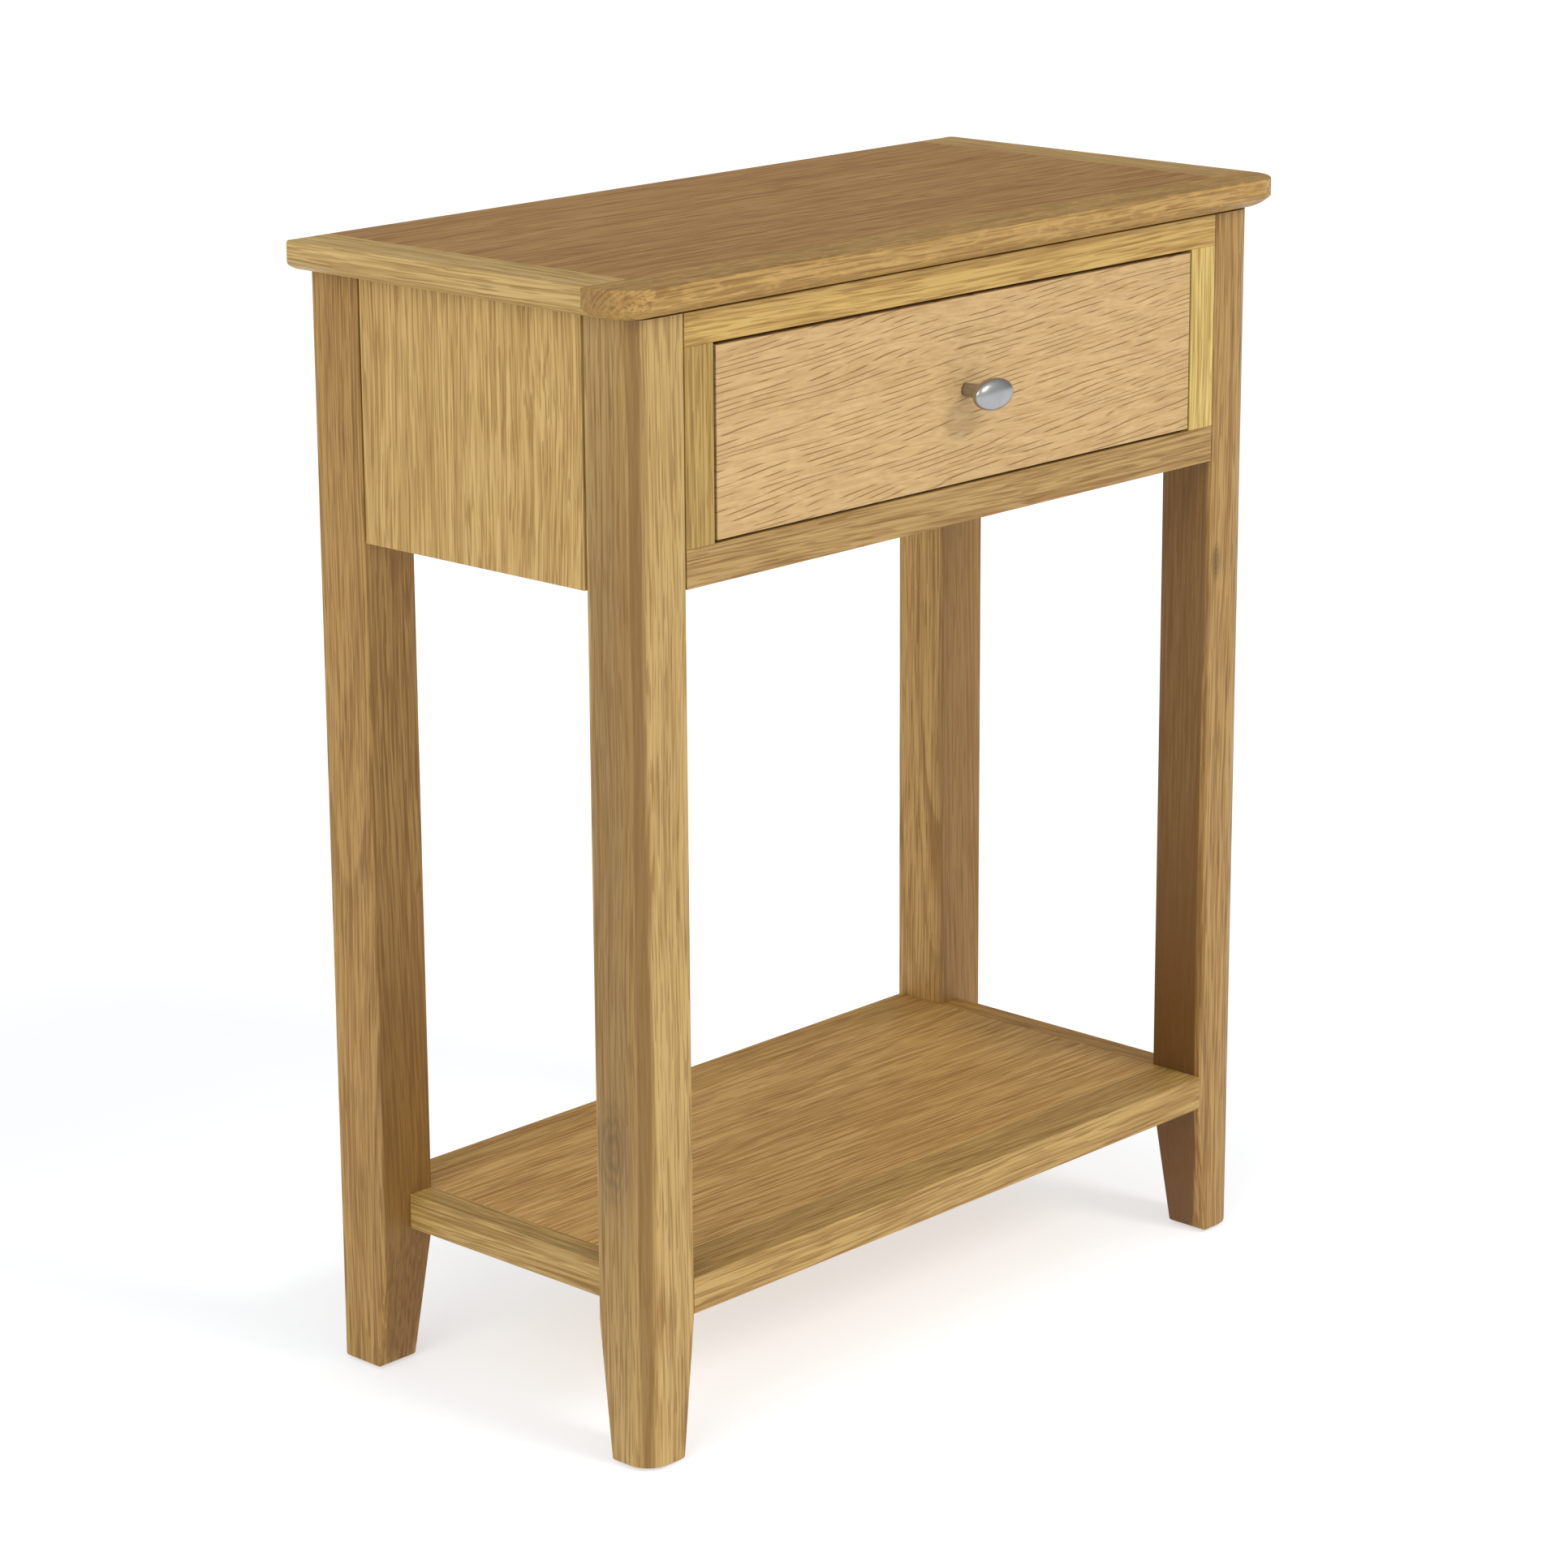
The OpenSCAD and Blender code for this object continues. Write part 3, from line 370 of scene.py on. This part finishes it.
def oak(name, node, grain, tone, seed, pith=(0.09, 0.04), lean=0.02, ring=0.0042, figure=0.5, streak=0.5,
        fine=1.4, wobble=0.010, sway=0.22, pore=0.50, fleck=0.0, strokes=0.0, knots=(), heart_and_shade_zones=()):
    """Lacquered oak cut from a log. The grain runs along z of the pattern, turned to the board's direction.
    Growth rings are circles round a pith line beside the board, pushed about by slow noise, so that a face
    shows arches or straight lines and an end shows arcs. Zones, bands, fibres and pores are noise drawn out
    along the grain. Strokes are long thin dark lines, side by side at a slight slope and broken up by noise.
    Flecks are pale wavy marks across the grain.
    pith is the pith's place from the board's middle, lean its slope, ring the width of a year.
    figure, streak, fine, pore, fleck and strokes are how strongly rings, bands, fibres, pores, flecks and
    strokes show; wobble and sway are how far and how fast the rings wander.
    knots are x, y, z, size and darkness. The last argument lists darker patches round an upright line, partly
    darker heartwood and partly painted shade where the table shades a leg's face: x, y, z, radius, half
    length and darkness."""
    f = Finish(name)
    low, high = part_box(node)
    turn = Euler(np.radians(GRAIN_TURN[grain]))
    middle = turn.to_matrix() @ ((low + high) / 2)
    here = f.add("ShaderNodeTexCoord", {}, "Object")
    along = f.stretch(here, (1, 1, 1), (-middle.x - pith[0], -middle.y - pith[1], -middle.z), turn)
    far = tuple(float(v) for v in np.random.default_rng(seed).uniform(-9, 9, 3))
    own = f.vector("ADD", along, far)

    # growth rings
    slow = f.noise(f.stretch(own, (1, 1, sway)), SLOW_PUSH, 2, out=1)
    quick = f.noise(f.stretch(own, (1, 1, sway)), QUICK_PUSH, 2, out=1)
    push = along
    for wander, share in ((slow, 2.4), (quick, 0.15)):
        wander = f.vector("SUBTRACT", wander, (0.5, 0.5, 0.5))
        push = f.vector("MULTIPLY_ADD", wander, (wobble * share,) * 2 + (0,), push)
    parts = f.add("ShaderNodeSeparateXYZ", {0: push}).node.outputs
    u = f.math("MULTIPLY_ADD", parts[2], lean, parts[0])
    v = f.math("MULTIPLY_ADD", parts[2], lean * 0.35, parts[1])
    squares = f.math("ADD", f.math("MULTIPLY", u, u), f.math("MULTIPLY", v, v))
    age = f.math("DIVIDE", f.math("SQRT", squares), ring)
    uneven = f.add("ShaderNodeTexNoise", {"W": age, "Scale": 0.31, "Detail": 1.0}, noise_dimensions="1D")
    year = f.math("FRACT", f.math("MULTIPLY_ADD", uneven, 1.6, age))
    early = f.math("MAXIMUM", f.span(year, 0.60, 0.0), f.span(year, 0.93, 1.0))
    vigour = f.add("ShaderNodeTexNoise", {"W": age, "Scale": 0.73, "Detail": 1.0}, noise_dimensions="1D")
    early = f.math("MULTIPLY", early, f.span(vigour, 0.3, 0.7, 0.25, 1.0))

    # zones, bands, fibres and pores, all of which follow the rings' flow
    flow = f.vector("ADD", push, far)
    zone = f.span(f.drawn_out(flow, ZONE, 1), 0.36, 0.64)
    band = f.span(f.drawn_out(flow, BAND, 2, 0.6), 0.36, 0.64)
    fibre = f.span(f.drawn_out(flow, FIBRE, 1.5, 0.6), 0.40, 0.60)
    patch = f.drawn_out(flow, PATCH, 2)
    dash = f.drawn_out(flow, PORES, 0)
    pores = f.span(f.math("MULTIPLY_ADD", early, 0.08, dash), 0.60, 0.66)
    facing = f.vector("DOT_PRODUCT", f.add("ShaderNodeTexCoord", {}, "Normal"),
                      tuple(float(c == grain) for c in "xyz"), out="Value")
    end = f.span(f.math("ABSOLUTE", facing), 0.45, 0.95)
    fibre = f.math("MULTIPLY_ADD", f.math("SUBTRACT", 0.5, fibre), f.math("MULTIPLY", end, 0.85), fibre)
    weight = f.mixture(0.5, (early, 0.85 * figure), (zone, 0.35 * figure), (band, 0.45 * streak),
                       (fibre, fine * streak), (patch, 0.4))
    weight = f.math("MULTIPLY_ADD", f.math("MULTIPLY", early, end), 0.6, weight, clamp=True)
    colour = f.blend(weight, paint(tone * LIGHT_WOOD), paint(tone * DARK_WOOD))
    hollow = f.math("MULTIPLY", pores, f.math("MULTIPLY_ADD", end, -0.7 * pore, pore))
    if strokes:
        across = (1 / STROKE_APART, 0, STROKE_SLOPE / STROKE_APART)
        phase = f.vector("DOT_PRODUCT", own, across, out="Value")
        phase = f.math("MULTIPLY_ADD", f.drawn_out(own, STROKE_WANDER, 1), 4.0, phase)
        line = f.span(f.math("PINGPONG", phase, 0.5), 0.12, 0.05)
        gaps = f.drawn_out(own, STROKE_GAPS, 1)
        line = f.math("MULTIPLY", line, f.span(gaps, 0.42, 0.56, 0.0, strokes))
        hollow = f.math("MAXIMUM", hollow, line)
    if fleck:
        ray = f.noise(f.stretch(flow, (1, 1, 0.34), turn=(0.5, 0.42, 0)), 210, 2, 0.5, distortion=0.6)
        shown = f.math("MULTIPLY", f.span(ray, 0.47, 0.64), fleck)
        colour = f.blend(shown, colour, paint(tone * FLECK_WOOD))
    # painted shade: each patch darkens the colour round an upright line, partly darker heartwood and partly
    # shade where the table shades a leg's face
    for hx, hy, hz, radius, half, dark in heart_and_shade_zones:
        away = f.vector("SUBTRACT", here, (hx, hy, hz))
        aside = f.vector("LENGTH", f.vector("MULTIPLY", away, (1, 1, 0)), out="Value")
        aside = f.math("MULTIPLY_ADD", band, radius * 0.12, aside)
        height = f.math("ABSOLUTE", f.add("ShaderNodeSeparateXYZ", {0: away}, 2))
        inside = f.span(aside, radius * 1.10, radius * 1.02)
        inside = f.math("MULTIPLY", inside, f.span(height, half, half * 0.4))
        colour = f.blend(f.math("MULTIPLY", inside, dark), colour, paint(tone * HEARTWOOD_AND_SHADE))
    colour = f.blend(hollow, colour, paint(tone * PORE_WOOD))
    for kx, ky, kz, size, dark in knots:
        away = f.vector("MULTIPLY", f.vector("SUBTRACT", here, (kx, ky, kz)), (1, 1, 0.40))
        reach = f.math("MULTIPLY_ADD", band, size * 0.4, f.vector("LENGTH", away, out="Value"))
        swirl = f.math("PINGPONG", reach, size * 0.22)
        near = f.span(reach, size * 2.0, size * 0.9)
        shown = f.math("MULTIPLY", near, f.span(swirl, 0, size * 0.22, dark * 0.35, dark))
        colour = f.blend(shown, colour, paint(tone * KNOT_WOOD))

    # end grain is darker, and arrises are a little worn and paler
    colour = f.blend(f.math("MULTIPLY", end, END_DARK), colour, paint(tone * END_WOOD))
    edge = f.math("MULTIPLY", f.worn_edges(1.6 * MM), f.span(patch, 0.35, 0.65, 0.10, 0.40))
    colour = f.blend(edge, colour, paint(tone * WORN_WOOD))

    rough = f.math("MULTIPLY_ADD", fibre, 0.14, 0.44)
    rough = f.math("MULTIPLY_ADD", hollow, 0.18, rough)
    rough = f.math("MULTIPLY_ADD", edge, -0.10, rough)
    relief = f.math("MULTIPLY_ADD", hollow, -1.0, f.math("MULTIPLY", fibre, 0.40))
    relief = f.math("MULTIPLY_ADD", early, -0.25, relief)
    return f.close(colour, rough, relief, 0.12 * MM, {"IOR": 1.42})


def metal(name, colour, rough):
    """Cast and tumbled metal: fine grain in its roughness, faint dents, brighter where arrises are rubbed."""
    f = Finish(name)
    here = f.add("ShaderNodeTexCoord", {}, "Object")
    grain = f.noise(here, 2600, 3, 0.6)
    cloud = f.noise(here, 120, 2)
    edge = f.worn_edges(0.6 * MM)
    shade = f.blend(f.span(cloud, 0.35, 0.65, 0.0, 0.5), paint(colour), paint(colour * 0.86))
    shade = f.blend(f.math("MULTIPLY", edge, 0.3), shade, paint(np.minimum(colour * 1.15, 0.95)))
    fine = f.span(grain, 0.3, 0.7, rough - 0.05, rough + 0.05)
    roughness = f.math("ADD", fine, f.span(cloud, 0.3, 0.7, 0.0, 0.05))
    return f.close(shade, roughness, grain, 0.015 * MM, {"Metallic": 1.0})


def plastic(name, colour):
    """Moulded plastic with a fine leathery skin, duller where it rubs on the floor."""
    f = Finish(name)
    here = f.add("ShaderNodeTexCoord", {}, "Object")
    skin = f.noise(here, 900, 3)
    scuff = f.span(f.noise(here, 160, 4, 0.7), 0.5, 0.7)
    shade = f.blend(f.math("MULTIPLY", scuff, 0.4), paint(colour), paint(colour * 1.6))
    return f.close(shade, f.span(skin, 0.3, 0.7, 0.45, 0.6), skin, 0.03 * MM)


FLOOR_GLOW = (0.525, 0.545, 0.565, 1)


def pale_floor():
    """Pale studio floor with a very faint mottle, lit a little from itself so that it stays nearly white."""
    f = Finish("pale_floor")
    here = f.add("ShaderNodeTexCoord", {}, "Object")
    mottle = f.noise(here, 3, 3)
    shade = f.blend(mottle, (0.60, 0.60, 0.60, 1), (0.62, 0.62, 0.62, 1))
    return f.close(shade, 0.9, mottle, 0.01 * MM, {"Emission Color": FLOOR_GLOW, "Emission Strength": 1.0})


# ---------- the table's pieces ----------


def board(node, ease, finish):
    place("eased_" + node, joined(node), node, finish, ease * MM)


# tabletop: form, direction of the grain, tone and figure of each board. The front, back and middle boards'
# tones are darker than the upright boards' tones, partly as painted shade for the less lit top.
for name, form, node, grain, tone, seed, figure in (
    ("top_front_board", front_rail_rings(), "top_front_rail", "x", (164, 128, 69), 1,
     {"pith": (0.020, -0.035), "lean": 0.012, "ring": 0.0035, "fleck": 0.5, "figure": 0.5}),
    ("top_back_board", back_rail_rings(), "top_back_rail", "x", (162, 122, 69), 2, {"pith": (0.05, 0.03)}),
    ("top_left_end_board", cleat_rings("top_left_cleat", -1), "top_left_cleat", "y", (187, 156, 96), 3,
     {"pith": (0.06, 0.02), "figure": 0.3}),
    ("top_right_end_board", cleat_rings("top_right_cleat", 1), "top_right_cleat", "y", (173, 140, 84), 4,
     {"pith": (0.05, 0.05), "figure": 0.4}),
):
    place(name, loft(form), node, oak(node + "_oak", node, grain, linear(*tone), seed, **figure),
          TOP_EASE * MM)
board("top_centre_panel", TOP_EASE,
      oak("top_panel_oak", "top_centre_panel", "x", linear(162, 121, 67), 5, pith=(0.45, 0.03), lean=0.01,
          ring=0.006, figure=0.25, streak=0.5))

# legs. The darker patches round upright lines paint shade on faces that the table shades: the front-right
# leg's inner face and the back legs' front faces. On the front-left leg's left face and corner they are
# partly darker heartwood and partly painted shade.
for node, sx, sy, corner, tone, seed, figure in (
    ("leg_front_left", -1, -1, LEG_CORNER_R, (172, 139, 82), 11,
     {"pith": (0.004, 0.042), "knots": ((-0.317, -0.1085, 0.222, 0.010, 0.7),),
      "heart_and_shade_zones": ((-0.325, -0.1195, 0.42, 0.026, 0.45, 0.55), (-0.3185, -0.1395, 0.4, 0.011, 1.2, 0.6))}),
    ("leg_front_right", 1, -1, LEG_CORNER_R, (158, 122, 66), 12,
     {"pith": (-0.030, 0.055), "knots": ((0.279, -0.138, 0.523, 0.0035, 0.9),),
      "heart_and_shade_zones": ((0.262, -0.1095, 0.1, 0.026, 1.2, 0.72), (0.262, -0.1095, 0.06, 0.026, 0.30, 1.0))}),
    ("leg_back_left", -1, 1, LEG_EASE, (159, 121, 62), 13,
     {"pith": (0.045, 0.004), "heart_and_shade_zones": ((-0.2945, 0.1035, 0.14, 0.028, 0.30, 0.6),)}),
    ("leg_back_right", 1, 1, LEG_EASE, (184, 145, 82), 14,
     {"pith": (0.055, -0.020), "heart_and_shade_zones": ((0.2945, 0.1035, 0.4, 0.029, 1.2, 0.65),)}),
):
    place("tapered_" + node, loft(leg_rings(node, sx, sy, corner), crisp_ends=True), node,
          oak(node + "_oak", node, "z", linear(*tone), seed, lean=0.016, figure=0.8, **figure))

# face frame
for node, grain, tone, seed in (
    ("front_over_rail", "x", (185, 149, 81), 21), ("front_under_rail", "x", (163, 129, 74), 22),
    ("front_left_stile", "z", (165, 133, 69), 23), ("front_right_stile", "z", (199, 170, 96), 24),
):
    board(node, 0.5, oak(node + "_oak", node, grain, linear(*tone), seed, pith=(0.05, 0.06)))

# side and back panels
for node, grain, seed in (
    ("side_panel_left", "z", 31), ("side_panel_right", "z", 32), ("back_panel", "x", 33),
):
    board(node, 0.5,
          oak(node + "_oak", node, grain, linear(189, 154, 91), seed, pith=(0.035, 0.10), lean=0.03,
              ring=0.0075, figure=0.30, fine=1.15, wobble=0.016))

# shelf
for node, grain, tone, seed in (
    ("shelf_panel", "x", (188, 149, 87), 41), ("shelf_front_board", "x", (170, 136, 76), 42),
    ("shelf_back_board", "x", (181, 142, 78), 43), ("shelf_left_board", "y", (174, 142, 81), 44),
    ("shelf_right_board", "y", (178, 138, 76), 45),
):
    board(node, 0.7,
          oak(node + "_oak", node, grain, linear(*tone), seed, pith=(0.20, 0.05), figure=0.30))

# drawer
board("drawer_front", 0.7,
      oak("drawer_front_oak", "drawer_front", "x", linear(194, 160, 109), 51, pith=(0.03, 0.16), lean=0.05,
          ring=0.011, figure=0.12, pore=0.12, strokes=1.0, fleck=0.18, wobble=0.012, sway=0.6, streak=0.16))
INNER = linear(186, 160, 116)
for node, grain, seed in (
    ("drawer_side_left", "y", 52), ("drawer_side_right", "y", 53), ("drawer_back", "x", 54),
    ("drawer_bottom", "y", 55), ("runner_left", "y", 56), ("runner_right", "y", 57), ("guide_left", "y", 58),
    ("guide_right", "y", 59), ("kicker_left", "y", 60), ("kicker_right", "y", 61),
):
    board(node, 0.5, oak(node + "_wood", node, grain, INNER, seed, figure=0.35, pore=0.15))
board("turn_button", 0.8, oak("turn_button_oak", "turn_button", "z", linear(160, 126, 78), 62))

# knob, and the CAD pieces that keep their own mesh: stops, dowels, glides and screws
nickel = metal("satin_nickel", np.array([0.42, 0.42, 0.42]), 0.26)
zinc = metal("zinc_plate", np.array([0.60, 0.57, 0.48]), 0.36)
place("cast_knob", loft(knob_rings()), "knob", nickel)
kept = {"drawer_stops": oak("drawer_stops_wood", "drawer_stops", "y", INNER, 63, figure=0.3, pore=0.15),
        "shelf_dowels": oak("shelf_dowels_wood", "shelf_dowels", "y", INNER, 64, figure=0.3, pore=0.15),
        "foot_glides": plastic("glide_plastic", linear(88, 72, 58)),
        "knob_screw": zinc, "turn_button_screw": zinc, "drawer_bottom_screws": zinc,
        "guide_screws": zinc, "top_fixing_screws": zinc}
for node, finish in kept.items():
    kept_piece = frame["nodes"][node]
    kept_piece.data.materials.clear()
    kept_piece.data.materials.append(finish)

# ---------- floor, light and camera ----------

FLOOR_REACH, FLOOR_SQUARES = 40, 8          # metres from the middle to each side, squares along a side
line = np.linspace(-FLOOR_REACH, FLOOR_REACH, FLOOR_SQUARES + 1)
gx, gy = np.meshgrid(line, line)
square = np.arange(FLOOR_SQUARES**2)
corner = square + square // FLOOR_SQUARES
next_row = corner + FLOOR_SQUARES + 1
floor_mesh = bpy.data.meshes.new("studio_floor")
floor_mesh.from_pydata(np.c_[gx.ravel(), gy.ravel(), 0 * gx.ravel()].tolist(), [],
                       np.c_[corner, corner + 1, next_row + 1, next_row].tolist())
floor = bpy.data.objects.new("studio_floor", floor_mesh)
scene.collection.objects.link(floor)
floor_mesh.materials.append(pale_floor())

# the sky glows evenly, brightest in front on the left and dimmest behind
SKY_BRIGHT_WAY, SKY_DIM, SKY_BRIGHT = (-0.45, -0.80, 0.40), 0.12, 0.80
world = bpy.data.worlds.new("soft studio")
scene.world = world
world.use_nodes = True
sky = world.node_tree
sky.nodes.clear()
way = sky.nodes.new("ShaderNodeTexCoord")
toward = sky.nodes.new("ShaderNodeVectorMath")
toward.operation = "DOT_PRODUCT"
toward.inputs[1].default_value = Vector(SKY_BRIGHT_WAY).normalized()
ramp = sky.nodes.new("ShaderNodeMapRange")
ramp.interpolation_type = "SMOOTHSTEP"
for key, value in ((1, -0.9), (2, 0.95), (3, SKY_DIM), (4, SKY_BRIGHT)):
    ramp.inputs[key].default_value = value
glow = sky.nodes.new("ShaderNodeBackground")
glow.inputs["Color"].default_value = (1, 1, 1, 1)
out = sky.nodes.new("ShaderNodeOutputWorld")
sky.links.new(way.outputs["Generated"], toward.inputs[0])
sky.links.new(toward.outputs["Value"], ramp.inputs[0])
sky.links.new(ramp.outputs[0], glow.inputs["Strength"])
sky.links.new(glow.outputs[0], out.inputs["Surface"])


def lamp(name, toward_light, strength, spread):
    """A distant soft light that shines from toward_light; spread is how wide it looks, in degrees."""
    data = bpy.data.lights.new(name, "SUN")
    data.energy, data.angle = strength, np.radians(spread)
    light = bpy.data.objects.new(name, data)
    light.rotation_euler = Vector(toward_light).to_track_quat("Z", "Y").to_euler()
    scene.collection.objects.link(light)


lamp("key", (0.15, -1.0, 0.85), 1.0, 16)
lamp("left_fill", (-1.0, -0.25, 0.75), 0.75, 35)
lamp("back_fill", (0.5, 1.0, 0.9), 0.15, 60)

# camera: its place in metres, and degrees from +Y towards +X, down from level and round its own axis
CAMERA_PLACE = (-2.3118, -2.134, 1.2756)
CAMERA_TURN = (46.863, 15.176, -0.323)
SENSOR, LENS_TIMES = 36, 2.925              # sensor in millimetres, lens in sensor widths
camera_data = bpy.data.cameras.new("camera")
camera = bpy.data.objects.new("camera", camera_data)
scene.collection.objects.link(camera)
scene.camera = camera
heading, dip, roll = np.radians(CAMERA_TURN)
forward = Vector((np.sin(heading) * np.cos(dip), np.cos(heading) * np.cos(dip), -np.sin(dip)))
level = Vector((np.cos(heading), -np.sin(heading), 0))
upward = level.cross(forward)
across = level * np.cos(roll) + upward * np.sin(roll)
upward = upward * np.cos(roll) - level * np.sin(roll)
turned = Matrix((across, upward, -forward)).transposed().to_4x4()
camera.matrix_world = Matrix.Translation(Vector(CAMERA_PLACE)) @ turned
camera_data.sensor_width = SENSOR
camera_data.lens = SENSOR * LENS_TIMES
camera_data.shift_y = -0.03
camera_data.clip_end = 200

scene.view_settings.view_transform = "Standard"
